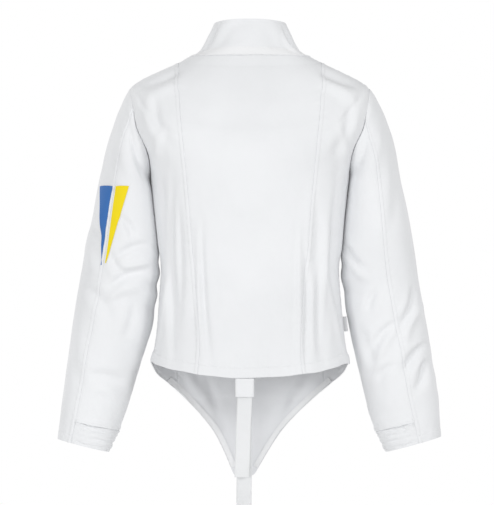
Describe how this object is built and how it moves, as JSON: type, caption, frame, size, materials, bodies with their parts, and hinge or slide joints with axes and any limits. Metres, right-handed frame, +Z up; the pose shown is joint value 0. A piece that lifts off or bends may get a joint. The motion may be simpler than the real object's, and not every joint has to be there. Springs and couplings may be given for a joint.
{
  "type": "fencing jacket",
  "caption": "White fencing jacket in worn form: stand collar, princess-seamed back, two-piece sleeves with gathered cuffs, front tail and crotch strap.",
  "frame": {"origin": "middle of the neck base, at the height of the neck seam at the centre back", "axes": "+Z up, the back faces +Y, the front with the zip faces -Y, the wearer's left is +X"},
  "size_m": [0.62, 0.2298, 0.8466],
  "materials": {
    "white_cloth": "matt dense weave with a faint sheen",
    "white_band": "matt tape",
    "white_webbing": "matt elastic webbing",
    "white_tape": "matt zip tape",
    "white_zip_coil": "matt nylon coil",
    "zip_metal": "satin metal"
  },
  "bodies": {
    "jacket": {"back_center": "white_cloth", "back_side_left": "white_cloth", "back_side_right": "white_cloth", "front_left": "white_cloth", "front_right": "white_cloth", "front_side_left": "white_cloth", "front_side_right": "white_cloth", "collar": "white_cloth", "sleeve_upper_left": "white_cloth", "sleeve_under_left": "white_cloth", "sleeve_upper_right": "white_cloth", "sleeve_under_right": "white_cloth", "cuff_left": "white_cloth", "cuff_right": "white_cloth", "strap_loop": "white_cloth", "neck_band": "white_band", "tail_hem_left": "white_band", "tail_hem_right": "white_band", "side_label": "white_band", "crotch_strap": "white_webbing", "zip_tape": "white_tape", "zip_chain": "white_zip_coil", "zip_slider": "zip_metal"},
    "zip_pull": {"zip_pull": "zip_metal"}
  },
  "joints": [
    {"name": "pull_swing", "type": "hinge", "parent": "jacket", "child": "zip_pull", "pos_m": [0, -0.06493, 0.01143], "axis": [-1, 0, 0], "range_deg": [0, 150]}
  ]
}
